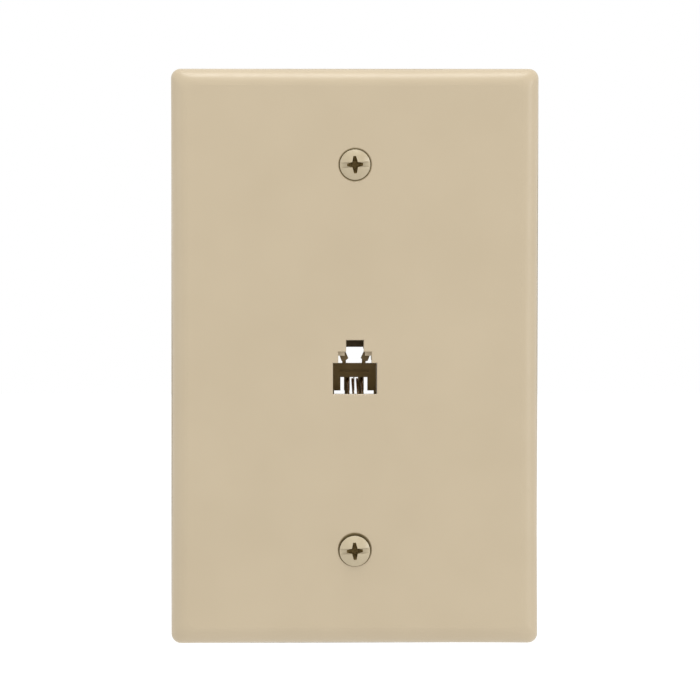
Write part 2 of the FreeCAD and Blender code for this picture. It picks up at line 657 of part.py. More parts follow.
def head_recess(rim_y, z):
    """Cross recess with tapered arms, and the shallow slot across the whole head."""
    top = rim_y - HEAD_LAND - HEAD_CROWN
    half = RECESS_SPAN / 2
    arm = RECESS_ARM / 2
    slot_half = HEAD_SLOT_WIDTH / 2
    cutter = block(-half, half, top - 1, top + RECESS_DEPTH, z - arm, z + arm)
    cutter = cutter.fuse(block(-arm, arm, top - 1, top + RECESS_DEPTH, z - half, z + half))
    cone = taper(half + 1, arm, top - 1, top + RECESS_DEPTH, 0, z)
    cutter = cutter.common(cone)
    slot_floor = top + HEAD_SLOT_DEPTH
    across = block(-HEAD_DIAMETER, HEAD_DIAMETER, top - 1, slot_floor, z - slot_half, z + slot_half)
    cutter = cutter.fuse(across)
    cutter.rotate(vector(0, 0, z), vector(0, -1, 0), RECESS_TURN)
    return cutter


def make_mounting_screw(centre_z, drop):
    """Oval-head machine screw. The neck behind the head carries the retaining washer."""
    z = centre_z - drop
    rim_y = screw_offset(drop)
    radius = HEAD_DIAMETER / 2
    neck = NECK_DIAMETER / 2
    cone_end = rim_y + (radius - neck) / SLOPE
    neck_end = retainer_base(drop) + RETAINER_THICKNESS + RETAINER_END_GAP
    ball = (radius**2 + HEAD_CROWN**2) / (2 * HEAD_CROWN)
    land_y = rim_y - HEAD_LAND
    sphere = Part.makeSphere(ball, vector(0, land_y - HEAD_CROWN + ball, z))
    crown = sphere.common(rod(radius, land_y - HEAD_CROWN - 1, land_y, 0, z))
    screw = crown.fuse(rod(radius, land_y, rim_y, 0, z))
    screw = screw.fuse(taper(radius, neck, rim_y, cone_end, 0, z))
    screw = screw.fuse(rod(neck, cone_end, neck_end, 0, z))
    screw = screw.fuse(rod(THREAD_DIAMETER / 2, neck_end, rim_y + SCREW_LENGTH, 0, z))
    return screw.cut(head_recess(rim_y, z)).removeSplitter()


def make_retainer(centre_z, drop):
    """Thin washer that keeps a mounting screw in the plate."""
    z = centre_z - drop
    y0 = retainer_base(drop)
    washer = rod(RETAINER_DIAMETER / 2, y0, y0 + RETAINER_THICKNESS, 0, z)
    bore = NECK_DIAMETER / 2 + RETAINER_BORE_GAP
    return washer.cut(rod(bore, y0 - 1, y0 + RETAINER_THICKNESS + 1, 0, z))


def export(shape, name):
    """Writes one piece to its own file."""
    solid = shape.Solids[0] if len(shape.Solids) == 1 else shape
    print(f"{name}: {len(shape.Solids)} solid, {solid.Volume:.2f} mm3, valid {solid.isValid()}")
    solid.exportStep(f"parts/{name}.step")


def splice_place(colour):
    """Where a contact's tail ends: the comb's order, spread to the splices' wider pitch."""
    return CONTACTS[colour] * SPLICE_PITCH


os.makedirs("parts", exist_ok=True)

export(make_wall_plate(), "wall_plate")
export(make_jack_housing(), "jack_housing")
export(make_contact_carrier(), "contact_carrier")

for colour, pitches in CONTACTS.items():
    contact_x = pitches * COMB_PITCH
    export(make_contact_arm(contact_x), f"contact_arm_{colour}")
    export(make_contact_tail(contact_x, splice_place(colour)), f"contact_tail_{colour}")
    export(make_splice(splice_place(colour)), f"splice_{colour}")

for colour, terminal_x, terminal_z in terminal_places():
    terminal_side = int(math.copysign(1, terminal_x))
    export(make_insert(terminal_x, terminal_z), f"terminal_insert_{colour}")
    export(make_lug(terminal_side, terminal_z), f"spade_lug_{colour}")
    export(make_lead(colour, terminal_side, terminal_z, splice_place(colour)), f"lead_{colour}")
    export(make_washer(terminal_x, terminal_z), f"terminal_washer_{colour}")
    export(make_terminal_screw(terminal_x, terminal_z), f"terminal_screw_{colour}")

for place, hole_z, screw_drop in (
    ("upper", SCREW_SPACING / 2, 0.0),
    ("lower", -SCREW_SPACING / 2, LOWER_SCREW_DROP),
):
    export(make_retainer(hole_z, screw_drop), f"screw_retainer_{place}")
    export(make_mounting_screw(hole_z, screw_drop), f"mounting_screw_{place}")
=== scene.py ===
import math

import bmesh
import bpy
from mathutils import Matrix, Quaternion, Vector


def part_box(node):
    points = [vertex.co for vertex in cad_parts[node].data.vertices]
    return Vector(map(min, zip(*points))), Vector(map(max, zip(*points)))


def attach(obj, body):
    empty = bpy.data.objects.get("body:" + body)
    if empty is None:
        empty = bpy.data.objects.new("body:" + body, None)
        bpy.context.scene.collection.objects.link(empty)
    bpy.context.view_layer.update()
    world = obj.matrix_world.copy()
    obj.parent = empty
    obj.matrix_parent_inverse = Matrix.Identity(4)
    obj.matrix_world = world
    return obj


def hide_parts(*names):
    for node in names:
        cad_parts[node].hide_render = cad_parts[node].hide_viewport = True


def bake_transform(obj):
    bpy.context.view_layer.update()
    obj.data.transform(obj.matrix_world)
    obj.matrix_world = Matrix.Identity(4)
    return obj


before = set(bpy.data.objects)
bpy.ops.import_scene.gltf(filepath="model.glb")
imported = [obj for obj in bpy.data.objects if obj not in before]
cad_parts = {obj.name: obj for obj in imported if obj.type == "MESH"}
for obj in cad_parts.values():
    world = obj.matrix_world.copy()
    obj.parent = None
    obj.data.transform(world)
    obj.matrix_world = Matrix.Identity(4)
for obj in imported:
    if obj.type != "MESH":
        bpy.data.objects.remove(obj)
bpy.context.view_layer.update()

MM = 0.001


# ---------------------------------------------------------------------------
# Wall plate. One hollow shell of ABS, injection moulded in ivory with a polished tool, so its
# face is smooth with a soft gloss. Its colour is painted darker down in the two countersinks as
# shade around the screw heads. Everything else is fixed to it.

PLATE_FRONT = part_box("wall_plate")[0].y
SCREW_HEIGHT = (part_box("mounting_screw_upper")[0].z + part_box("mounting_screw_upper")[1].z) / 2


def linear(code):
    """sRGB hex colour as linear red, green, blue, alpha."""
    shares = [int(code[i:i + 2], 16) / 255 for i in (1, 3, 5)]
    return tuple(c / 12.92 if c <= 0.04045 else ((c + 0.055) / 1.055) ** 2.4 for c in shares) + (1.0,)


def add_node(tree, kind, settings=None, links=None):
    """Adds a shader node, sets its properties or sockets, and links its inputs."""
    node = tree.nodes.new(kind)
    for name, value in (settings or {}).items():
        if isinstance(name, str) and hasattr(node, name):
            setattr(node, name, value)
        else:
            node.inputs[name].default_value = value
    for name, source in (links or {}).items():
        tree.links.new(source, node.inputs[name])
    return node


def new_finish(name, **sockets):
    """Empty material with a Principled shader, its output and the object's own coordinates."""
    material = bpy.data.materials.new(name)
    material.use_nodes = True
    tree = material.node_tree
    tree.nodes.clear()
    shader = add_node(tree, "ShaderNodeBsdfPrincipled", sockets)
    add_node(tree, "ShaderNodeOutputMaterial", links={"Surface": shader.outputs["BSDF"]})
    place = add_node(tree, "ShaderNodeTexCoord").outputs["Object"]
    return material, tree, shader, place


def speckle(tree, place, size, low, high, detail=3.0, roughness=0.5):
    """Noise with features of a real size in metres, mapped to run from low to high."""
    noise = add_node(
        tree, "ShaderNodeTexNoise", {"Scale": 1 / size, "Detail": detail, "Roughness": roughness},
        {"Vector": place},
    )
    return add_node(
        tree, "ShaderNodeMapRange", {"From Min": 0.3, "From Max": 0.7, "To Min": low, "To Max": high},
        {"Value": noise.outputs["Fac"]},
    ).outputs["Result"]


def blotches(tree, place, size, dark, light):
    """Two close colours that drift into each other over a real size in metres."""
    share = speckle(tree, place, size, 0.0, 1.0, detail=2.0)
    ramp = add_node(tree, "ShaderNodeValToRGB", links={"Fac": share})
    ramp.color_ramp.elements[0].color = linear(dark)
    ramp.color_ramp.elements[1].color = linear(light)
    return ramp.outputs["Color"]


def relief(tree, height, depth, strength=1.0):
    """Bump from a height that runs from 0 to 1, over a real depth in metres."""
    return add_node(
        tree, "ShaderNodeBump", {"Strength": strength, "Distance": depth}, {"Height": height}
    ).outputs["Normal"]


def math_node(tree, operation, source, other):
    """One arithmetic step on a value, with a constant."""
    return add_node(
        tree, "ShaderNodeMath", {"operation": operation, 1: other}, {0: source}
    ).outputs["Value"]


def countersink_painted_shade(tree, place):
    """Share from 0 to 1 of painted shade down in the two countersinks, below the plate's face."""
    parts = add_node(tree, "ShaderNodeSeparateXYZ", links={"Vector": place}).outputs
    above = math_node(tree, "SUBTRACT", math_node(tree, "ABSOLUTE", parts["Z"], 0.0), SCREW_HEIGHT)
    beside = add_node(tree, "ShaderNodeCombineXYZ", links={"X": parts["X"], "Z": above}).outputs["Vector"]
    reach = add_node(tree, "ShaderNodeVectorMath", {"operation": "LENGTH"}, {0: beside}).outputs["Value"]
    near = math_node(tree, "LESS_THAN", reach, 4.2 * MM)
    sunk = add_node(
        tree, "ShaderNodeMapRange",
        {"From Min": PLATE_FRONT + 0.03 * MM, "From Max": PLATE_FRONT + 0.33 * MM}, {"Value": parts["Y"]},
    ).outputs["Result"]
    return add_node(tree, "ShaderNodeMath", {"operation": "MULTIPLY"}, {0: near, 1: sunk}).outputs["Value"]


def moulded_abs():
    """Ivory ABS off a polished tool: soft gloss, faint flow clouds, a fine orange-peel and painted shade in
    the countersinks.
    """
    material, tree, shader, place = new_finish("ivory_abs", **{"IOR": 1.53, "Specular IOR Level": 0.42})
    clean = blotches(tree, place, 17 * MM, "#AFA086", "#B2A389")
    # the darker tone down in the countersinks is painted shade
    painted_shade_tone = blotches(tree, place, 0.8 * MM, "#7A6B4A", "#8A7A58")
    layers = add_node(tree, "ShaderNodeMix", {"data_type": "RGBA"})
    tree.links.new(countersink_painted_shade(tree, place), layers.inputs[0])
    tree.links.new(clean, layers.inputs[6])
    tree.links.new(painted_shade_tone, layers.inputs[7])
    tree.links.new(layers.outputs[2], shader.inputs["Base Color"])
    tree.links.new(speckle(tree, place, 2.5 * MM, 0.36, 0.44), shader.inputs["Roughness"])
    # the real grain is a few hundredths of a millimetre and would not show, so it is drawn at 0.35
    peel = speckle(tree, place, 0.35 * MM, 0.0, 1.0)
    tree.links.new(relief(tree, peel, 0.004 * MM), shader.inputs["Normal"])
    return material


def dress_node(name, material, edge, segments=2):
    """Gives a CAD node its finish and breaks its sharp edges by a real radius in metres."""
    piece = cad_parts[name]
    for slot in piece.material_slots:
        slot.link = "OBJECT"
        slot.material = material
    weld = piece.modifiers.new("weld", "WELD")
    weld.merge_threshold = 0.0005 * MM
    flat = piece.modifiers.new("one_face_per_plane", "DECIMATE")
    flat.decimate_type = "DISSOLVE"
    flat.angle_limit = math.radians(0.5)
    soft = piece.modifiers.new("moulded_edges", "BEVEL")
    soft.width = edge
    soft.segments = segments
    soft.limit_method = "ANGLE"
    soft.angle_limit = math.radians(38)
    soft.harden_normals = True
    return piece


abs_plastic = moulded_abs()
dress_node("wall_plate", abs_plastic, 0.08 * MM)


# ---------------------------------------------------------------------------
# Jack housing. A separate nylon box staked to the back of the plate by its two ears. It is
# moulded with a dull face, its dark tan is painted shade inside the jack, and its latch catches hang behind
# the window's steps.

def moulded_nylon(name, dark, light):
    """Dull nylon in the two given tones, slightly mottled, with a fine spark-eroded grain."""
    material, tree, shader, place = new_finish(name, **{"IOR": 1.53, "Specular IOR Level": 0.35})
    tree.links.new(blotches(tree, place, 3 * MM, dark, light), shader.inputs["Base Color"])
    tree.links.new(speckle(tree, place, 0.6 * MM, 0.5, 0.62), shader.inputs["Roughness"])
    grain = speckle(tree, place, 0.12 * MM, 0.0, 1.0)
    tree.links.new(relief(tree, grain, 0.006 * MM), shader.inputs["Normal"])
    return material


# the dark tan stands for the ivory plastic in shade inside the jack: painted shade
housing_nylon = moulded_nylon("housing_nylon", "#5C4A28", "#695530")
dress_node("jack_housing", housing_nylon, 0.10 * MM)


# ---------------------------------------------------------------------------
# Contact carrier. A nylon comb that slides into the housing from behind and holds the four
# contact wires at their pitch. It is the dark wall with the light slots at the back of the jack. Its tan
# is painted: darker than the plate's ivory as shade deep in the jack, and lighter than the housing as light
# reaching it from behind.

# painted shade and painted light: darker than the plate, lighter than the housing
carrier_nylon = moulded_nylon("carrier_nylon", "#927640", "#9F8249")
dress_node("contact_carrier", carrier_nylon, 0.05 * MM)


# ---------------------------------------------------------------------------
# Contact wires. Each is one round spring of phosphor bronze under a thin gold plate: the arm
# rests in the comb, the nose turns it back under the floor, and the tail spreads to its splice.

LEAD_COLOURS = ("black", "red", "green", "yellow")
NOSE_BEND = 1.0 * MM
ARM_SLOPE = math.radians(15.70)
ARM_ASIDE = 0.15 * MM  # each arm leans on one side of its slot
NOSE_ASIDE = 0.22 * MM
TAIL_SPREAD_START = 1.5 * MM
TAIL_SPREAD_END = 0.6 * MM
CUT_END = 0.05 * MM


def finished_piece(name, form, material, sharp=35):
    """Object from a bmesh, shaded smooth except over edges sharper than the given degrees."""
    form.normal_update()
    for edge in form.edges:
        edge.smooth = edge.calc_face_angle(0.0) < math.radians(sharp)
    for face in form.faces:
        face.smooth = True
    mesh = bpy.data.meshes.new(name)
    form.to_mesh(mesh)
    form.free()
    mesh.materials.append(material)
    piece = bpy.data.objects.new(name, mesh)
    bpy.context.scene.collection.objects.link(piece)
    return piece


def round_bar(line, radii, sides):
    """Closed round bar along a line of points, with its own radius at each point."""
    form = bmesh.new()
    rings = []
    aside = None
    for number, centre in enumerate(line):
        ahead = (line[min(number + 1, len(line) - 1)] - line[max(number - 1, 0)]).normalized()
        if aside is None:
            aside = ahead.orthogonal()
        aside = (aside - ahead * aside.dot(ahead)).normalized()
        across = ahead.cross(aside)
        angles = [math.tau * k / sides for k in range(sides)]
        rings.append([
            form.verts.new(centre + (aside * math.cos(a) + across * math.sin(a)) * radii[number])
            for a in angles
        ])
    for near, far in zip(rings, rings[1:]):
        for k in range(sides):
            following = (k + 1) % sides
            form.faces.new((near[k], near[following], far[following], far[k]))
    form.faces.new(rings[0][::-1])
    form.faces.new(rings[-1])
    return form


def spline_line(points, steps):
    """Smooth line of points read from a NURBS spline that the given points control."""
    curve = bpy.data.curves.new("route", "CURVE")
    curve.dimensions = "3D"
    spline = curve.splines.new("NURBS")
    spline.points.add(len(points) - 1)
    for knot, place in zip(spline.points, points):
        knot.co = (*place, 1.0)
    spline.order_u = 3
    spline.use_endpoint_u = True
    spline.resolution_u = steps
    holder = bpy.data.objects.new("route", curve)
    mesh = bpy.data.meshes.new_from_object(holder)
    line = [vertex.co.copy() for vertex in mesh.vertices]
    bpy.data.objects.remove(holder)
    bpy.data.curves.remove(curve)
    bpy.data.meshes.remove(mesh)
    return line


def gold_plate():
    """Thin gold over drawn bronze: warm, fairly bright, with a slightly uneven gloss."""
    material, tree, shader, place = new_finish("gold_plated_bronze", Metallic=1.0)
    tree.links.new(blotches(tree, place, 0.8 * MM, "#A67C3C", "#C09850"), shader.inputs["Base Color"])
    tree.links.new(speckle(tree, place, 0.3 * MM, 0.24, 0.36), shader.inputs["Roughness"])
    # drawing lines on the wire are a few microns apart and are drawn as a 0.05 mm grain
    drawn = speckle(tree, place, 0.05 * MM, 0.0, 1.0)
    tree.links.new(relief(tree, drawn, 0.003 * MM), shader.inputs["Normal"])
    return material


gold_plated_bronze = gold_plate()
for colour in LEAD_COLOURS:
    arm_low, arm_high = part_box(f"contact_arm_{colour}")
    tail_low, tail_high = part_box(f"contact_tail_{colour}")
    splice_low, splice_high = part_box(f"splice_{colour}")
    wire_radius = (arm_high.x - arm_low.x) / 2
    wire_x = (arm_low.x + arm_high.x) / 2
    splice_x = (splice_low.x + splice_high.x) / 2
    tail_z = tail_low.z + wire_radius
    nose_x = wire_x + NOSE_ASIDE
    nose = Vector((nose_x, tail_low.y + NOSE_BEND + wire_radius, tail_z + NOSE_BEND))
    tip = Vector((
        wire_x + ARM_ASIDE,
        arm_high.y - wire_radius * math.sin(ARM_SLOPE),
        arm_high.z - wire_radius * math.cos(ARM_SLOPE),
    ))
    turns = [ARM_SLOPE + (math.pi - ARM_SLOPE) * k / 16 for k in range(17)]
    bend = [nose + NOSE_BEND * Vector((0, -math.sin(turn), math.cos(turn))) for turn in turns]
    up_arm = (tip - bend[0]).normalized()
    arm = [tip, tip - up_arm * CUT_END] + [tip.lerp(bend[0], k / 8) for k in range(1, 8)]
    housing_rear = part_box("jack_housing")[1].y
    tail = spline_line([
        (nose_x, nose.y, tail_z),
        (wire_x, TAIL_SPREAD_START, tail_z),
        (splice_x, housing_rear - TAIL_SPREAD_END, tail_z),
        (splice_x, tail_high.y, tail_z),
    ], 6)
    line = arm + bend + tail[1:]
    radii = [wire_radius * 0.75] + [wire_radius] * (len(line) - 1)
    wire = finished_piece(f"contact_wire_{colour}", round_bar(line, radii, 16), gold_plated_bronze)
    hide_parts(f"contact_arm_{colour}", f"contact_tail_{colour}")
    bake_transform(wire)


# ---------------------------------------------------------------------------
# Splices. Short sleeves of tin-plated copper, slid over each tail and the end of its lead and
# crimped twice, once on the wire and once on the lead. The crimps leave a dent on two sides.

SPLICE_LIP = 0.12 * MM
WIRE_CRIMP_DEPTH = 0.17 * MM
LEAD_CRIMP_DEPTH = 0.12 * MM
CRIMP_LENGTH = 0.42 * MM


def turned(profile, segments, shape=None):
    """Surface turned about +Y from (y, radius) pairs. shape(y, radius, angle) may alter a radius."""
    form = bmesh.new()
    rows = []
    for y, radius in profile:
        if radius == 0:
            rows.append([form.verts.new((0, y, 0))])
            continue
        row = []
        for k in range(segments):
            angle = math.tau * k / segments
            reach = shape(y, radius, angle) if shape else radius
            row.append(form.verts.new((reach * math.sin(angle), y, reach * math.cos(angle))))
        rows.append(row)
    for near, far in zip(rows, rows[1:]):
        for k in range(segments):
            corners = (
                near[k % len(near)], near[(k + 1) % len(near)],
                far[(k + 1) % len(far)], far[k % len(far)],
            )
            form.faces.new(list(dict.fromkeys(corners)))
    return form


def move_form(form, offset):
    """Shifts a whole bmesh."""
    bmesh.ops.translate(form, verts=form.verts, vec=offset)
    return form


def tin_plate():
    """Tin over soft copper: pale and satin, with cloudy dull patches where it was handled."""
    material, tree, shader, place = new_finish("tinned_copper", Metallic=1.0)
    tree.links.new(blotches(tree, place, 1.1 * MM, "#AFABA2", "#CFCCC4"), shader.inputs["Base Color"])
    tree.links.new(speckle(tree, place, 0.5 * MM, 0.30, 0.50), shader.inputs["Roughness"])
    rolled = speckle(tree, place, 0.12 * MM, 0.0, 1.0)
    tree.links.new(relief(tree, rolled, 0.006 * MM), shader.inputs["Normal"])
    return material


def crimped_radius(start, length, radius_limit):
    """Radius law of a sleeve with two pairs of dents, on its +Z and -Z sides."""
    wire_dent = start + 0.24 * length
    lead_dent = start + 0.74 * length

    def law(y, radius, angle):
        if radius < radius_limit:
            return radius
        facing = abs(math.cos(angle)) ** 6
        dent = WIRE_CRIMP_DEPTH * math.exp(-((y - wire_dent) / CRIMP_LENGTH) ** 4)
        dent += LEAD_CRIMP_DEPTH * math.exp(-((y - lead_dent) / CRIMP_LENGTH) ** 4)
        return radius - dent * facing

    return law


tinned_copper = tin_plate()
for colour in LEAD_COLOURS:
    low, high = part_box(f"splice_{colour}")
    outer = (high.x - low.x) / 2
    length = high.y - low.y
    middle = (low.y + high.y) / 2
    wire_bore = outer * 0.30
    lead_bore = outer * 0.745
    walls = [(low.y + length * k / 24, outer) for k in range(1, 24)]
    profile = [(middle, wire_bore), (low.y, wire_bore)]
    profile += [(low.y, outer - SPLICE_LIP), (low.y + SPLICE_LIP, outer)]
    profile += walls[1:-1]
    profile += [(high.y - SPLICE_LIP, outer), (high.y, outer - SPLICE_LIP)]
    profile += [(high.y, lead_bore), (middle, lead_bore)]
    profile.append(profile[0])
    form = turned(profile, 40, crimped_radius(low.y, length, outer * 0.8))
    bmesh.ops.remove_doubles(form, verts=form.verts, dist=0.0005 * MM)
    move_form(form, ((low.x + high.x) / 2, 0, (low.z + high.z) / 2))
    splice = finished_piece(f"crimped_splice_{colour}", form, tinned_copper)
    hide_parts(f"splice_{colour}")
    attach(splice, "plate")


# ---------------------------------------------------------------------------
# Leads. Four short stranded wires in coloured PVC, one from each spade lug round the side of the
# housing to its splice. The upper two pass behind the lower two. The insulation is extruded.

HOUSING_EAR = 3.5 * MM
LEAD_STAND_OFF = 2.2 * MM
LEAD_LOOP = 4.6 * MM
LEAD_INSERTION = 1.8 * MM
LEAD_RADIUS = 0.675 * MM


def pvc(name, dark, light):
    """Extruded PVC: a waxy half gloss with faint lengthwise unevenness and handling marks."""
    material, tree, shader, place = new_finish(name, **{"IOR": 1.54, "Specular IOR Level": 0.45})
    tree.links.new(blotches(tree, place, 1.5 * MM, dark, light), shader.inputs["Base Color"])
    tree.links.new(speckle(tree, place, 0.9 * MM, 0.34, 0.48), shader.inputs["Roughness"])
    # the die's drag lines are finer than this and are drawn as a 0.2 mm unevenness
    drag = speckle(tree, place, 0.2 * MM, 0.0, 1.0)
    tree.links.new(relief(tree, drag, 0.008 * MM), shader.inputs["Normal"])
    return material


def lead_route(colour):
    """The lead's points: in from its lug, back beside the housing, forward into its splice."""
    lug_low, lug_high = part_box(f"spade_lug_{colour}")
    splice_low, splice_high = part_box(f"splice_{colour}")
    housing_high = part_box("jack_housing")[1]
    side = math.copysign(1, lug_low.x)
    lug_end = min(abs(lug_low.x), abs(lug_high.x))
    terminal_z = (lug_low.z + lug_high.z) / 2
    barrel_y = (lug_low.y + lug_high.y) / 2
    beside = housing_high.x - HOUSING_EAR + LEAD_STAND_OFF
    back = splice_high.y + LEAD_LOOP
    across = abs(splice_low.x + splice_high.x) / 2
    tail_z = (splice_low.z + splice_high.z) / 2
    if terminal_z > tail_z:
        loop = [
            (beside - 0.5 * MM, barrel_y + 2.2 * MM, terminal_z - 2.0 * MM),
            (beside - 0.3 * MM, barrel_y + 4.4 * MM, terminal_z - 5.4 * MM),
            (beside - 0.8 * MM, splice_high.y - 1.0 * MM, terminal_z - 9.3 * MM),
            (beside - 1.4 * MM, back - 1.0 * MM, tail_z + 3.4 * MM),
            (beside - 1.3 * MM, back + 1.6 * MM, tail_z + 0.2 * MM),
            (across + 3.9 * MM, back + 1.9 * MM, tail_z - 2.4 * MM),
            (across + 0.8 * MM, back - 0.2 * MM, tail_z - 2.6 * MM),
            (across, back - 3.2 * MM, tail_z),
        ]
    else:
        loop = [
            (beside - 0.2 * MM, barrel_y + 2.6 * MM, terminal_z - 0.5 * MM),
            (beside - 1.2 * MM, housing_high.y + 2.2 * MM, terminal_z - 1.6 * MM),
            (beside - 2.0 * MM, back - 2.2 * MM, terminal_z - 1.6 * MM),
            (across + 1.8 * MM, back - 0.5 * MM, terminal_z + 1.1 * MM),
            (across + 0.5 * MM, back - 1.3 * MM, tail_z - 1.2 * MM),
            (across, back - 3.2 * MM, tail_z),
        ]
    start = [(lug_end + LEAD_INSERTION, barrel_y, terminal_z), (lug_end - 1.5 * MM, barrel_y, terminal_z)]
    end = [(across, (splice_low.y + splice_high.y) / 2, tail_z)]
    return [(side * x, y, z) for x, y, z in start + loop + end]


LEAD_TINTS = {
    "black": ("#161513", "#1F1E1C"),
    "red": ("#9A1B17", "#AE2721"),
    "green": ("#17612F", "#1F7239"),
    "yellow": ("#CFA51C", "#DDB733"),
}
for colour in LEAD_COLOURS:
    line = spline_line(lead_route(colour), 8)
    form = round_bar(line, [LEAD_RADIUS] * len(line), 24)
    lead = finished_piece(f"insulated_lead_{colour}", form, pvc(f"{colour}_pvc", *LEAD_TINTS[colour]))
    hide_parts(f"lead_{colour}")
    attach(lead, "plate")


# ---------------------------------------------------------------------------
# Spade lugs. A fork stamped from tin-plated copper strip, with its tail rolled into a barrel
# and crimped on the lead. The barrel's seam lies on the side away from the plate.

LUG_STRIP = 0.6 * MM
LUG_NECK_HALF = 1.3 * MM
LUG_SLOT_HALF = 1.9 * MM
LUG_BARREL_RADIUS = 1.1 * MM
LUG_BARREL_LENGTH = 3.2 * MM
LUG_BARREL_OFFSET = 4.4 * MM
LUG_SEAM_HALF = math.radians(7)


def fork_outline(half_width, tip):
    """Outline of the fork about its terminal, with the prongs towards +X and the neck at -X."""
    outer_mouth = math.acos(tip / half_width)
    neck_angle = math.pi - math.asin(LUG_NECK_HALF / half_width)
    outline = []
    for k in range(15):
        angle = outer_mouth + (neck_angle - outer_mouth) * k / 14
        outline.append((half_width * math.cos(angle), half_width * math.sin(angle)))
    outline.append((-LUG_BARREL_OFFSET - 0.3 * MM, LUG_NECK_HALF))
    mirrored = [(x, -z) for x, z in reversed(outline)]
    inside = []
    for k in range(13):
        angle = -math.pi / 2 - math.pi * k / 12
        inside.append((LUG_SLOT_HALF * math.cos(angle), LUG_SLOT_HALF * math.sin(angle)))
    return outline + mirrored + [(tip, -LUG_SLOT_HALF)] + inside + [(tip, LUG_SLOT_HALF)]


def lug_barrel(segments, rows):
    """Barrel rolled from the strip along -X from its near end, open by a narrow seam."""
    form = bmesh.new()
    skins = []
    inner = LUG_BARREL_RADIUS - 0.36 * MM
    for radius in (LUG_BARREL_RADIUS, inner):
        grid = []
        for i in range(rows + 1):
            along = LUG_BARREL_LENGTH * i / rows
            dent = 0.16 * MM * math.exp(-((along - 0.62 * LUG_BARREL_LENGTH) / (0.55 * MM)) ** 4)
            ring = []
            for k in range(segments + 1):
                angle = LUG_SEAM_HALF + (math.tau - 2 * LUG_SEAM_HALF) * k / segments
                reach = radius - dent * max(0.0, math.cos(angle)) ** 4 * (radius > inner)
                ring.append(form.verts.new((-along, reach * math.cos(angle), reach * math.sin(angle))))
            grid.append(ring)
        skins.append(grid)
    outside, inside = skins
    for i in range(rows):
        for k in range(segments):
            form.faces.new((outside[i][k], outside[i][k + 1], outside[i + 1][k + 1], outside[i + 1][k]))
            form.faces.new((inside[i][k], inside[i + 1][k], inside[i + 1][k + 1], inside[i][k + 1]))
        form.faces.new((outside[i][0], outside[i + 1][0], inside[i + 1][0], inside[i][0]))
        form.faces.new((outside[i + 1][-1], outside[i][-1], inside[i][-1], inside[i + 1][-1]))
    for k in range(segments):
        form.faces.new((outside[0][k + 1], outside[0][k], inside[0][k], inside[0][k + 1]))
        form.faces.new((outside[-1][k], outside[-1][k + 1], inside[-1][k + 1], inside[-1][k]))
    return form


def stamped_lug(low, high):
    """Fork and barrel in one form, drawn with the prongs towards +X."""
    half_width = (high.z - low.z) / 2
    centre_x = min(abs(low.x), abs(high.x)) + LUG_BARREL_LENGTH + LUG_BARREL_OFFSET
    tip = max(abs(low.x), abs(high.x)) - centre_x
    form = bmesh.new()
    face = form.faces.new([form.verts.new((x, LUG_STRIP, z)) for x, z in fork_outline(half_width, tip)])
    drawn = bmesh.ops.extrude_face_region(form, geom=[face])
    shifted = [part for part in drawn["geom"] if isinstance(part, bmesh.types.BMVert)]
    bmesh.ops.translate(form, verts=shifted, vec=(0, -LUG_STRIP, 0))
    rims = [e for e in form.edges if abs(e.verts[0].co.y - e.verts[1].co.y) < LUG_STRIP / 2]
    bmesh.ops.bevel(form, geom=rims, offset=0.05 * MM, segments=1, affect="EDGES")
    barrel = move_form(lug_barrel(28, 16), (-LUG_BARREL_OFFSET, LUG_BARREL_RADIUS, 0))
    mesh = bpy.data.meshes.new("barrel")
    barrel.to_mesh(mesh)
    barrel.free()
    form.from_mesh(mesh)
    bpy.data.meshes.remove(mesh)
    side = math.copysign(1, low.x)
    if side < 0:
        bmesh.ops.scale(form, verts=form.verts, vec=(-1, 1, 1))
    bmesh.ops.recalc_face_normals(form, faces=form.faces)
    return move_form(form, (side * centre_x, low.y, (low.z + high.z) / 2))


for colour in LEAD_COLOURS:
    lug = finished_piece(f"stamped_lug_{colour}", stamped_lug(*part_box(f"spade_lug_{colour}")), tinned_copper)
    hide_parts(f"spade_lug_{colour}")
    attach(lug, "plate")


# ---------------------------------------------------------------------------
# Terminal inserts and washers. The threaded insert is turned brass, pressed into its boss. The
# washer is punched from zinc-plated steel and lies under the head of the terminal screw.

def turned_brass():
    """Machined brass: bright yellow metal, dulled in patches."""
    material, tree, shader, place = new_finish("turned_brass", Metallic=1.0)
    tree.links.new(blotches(tree, place, 1.2 * MM, "#A98545", "#C5A35E"), shader.inputs["Base Color"])
    tree.links.new(speckle(tree, place, 0.6 * MM, 0.25, 0.42), shader.inputs["Roughness"])
    cut = speckle(tree, place, 0.08 * MM, 0.0, 1.0)
    tree.links.new(relief(tree, cut, 0.004 * MM), shader.inputs["Normal"])
    return material


def zinc_plate():
    """Bright zinc over steel: cool and shiny, with a faint milky bloom and fine scuffs."""
    material, tree, shader, place = new_finish("zinc_steel", Metallic=1.0)
    tree.links.new(blotches(tree, place, 1.4 * MM, "#B3B5B6", "#CDCECB"), shader.inputs["Base Color"])
    tree.links.new(speckle(tree, place, 0.4 * MM, 0.22, 0.40), shader.inputs["Roughness"])
    scuff = speckle(tree, place, 0.1 * MM, 0.0, 1.0)
    tree.links.new(relief(tree, scuff, 0.005 * MM), shader.inputs["Normal"])
    return material


brass = turned_brass()
zinc_steel = zinc_plate()
for colour in LEAD_COLOURS:
    dress_node(f"terminal_insert_{colour}", brass, 0.08 * MM)
    dress_node(f"terminal_washer_{colour}", zinc_steel, 0.07 * MM)


# ---------------------------------------------------------------------------
# Terminal screws. Number 6-32 binding screws with slotted pan heads, cold headed and rolled
# from steel and zinc plated. Each clamps its lug, and a house wire under the washer.

THREAD_PITCH = 25.4 / 32 * MM
THREAD_DEPTH = 0.45 * MM
THREAD_RADIUS = 1.75 * MM
POINT_LENGTH = 0.6 * MM
TERMINAL_HEAD = 2.0 * MM
TERMINAL_CROWN = 0.5 * MM
TERMINAL_SLOT_HALF = 0.55 * MM
TERMINAL_SLOT_DEPTH = 1.0 * MM


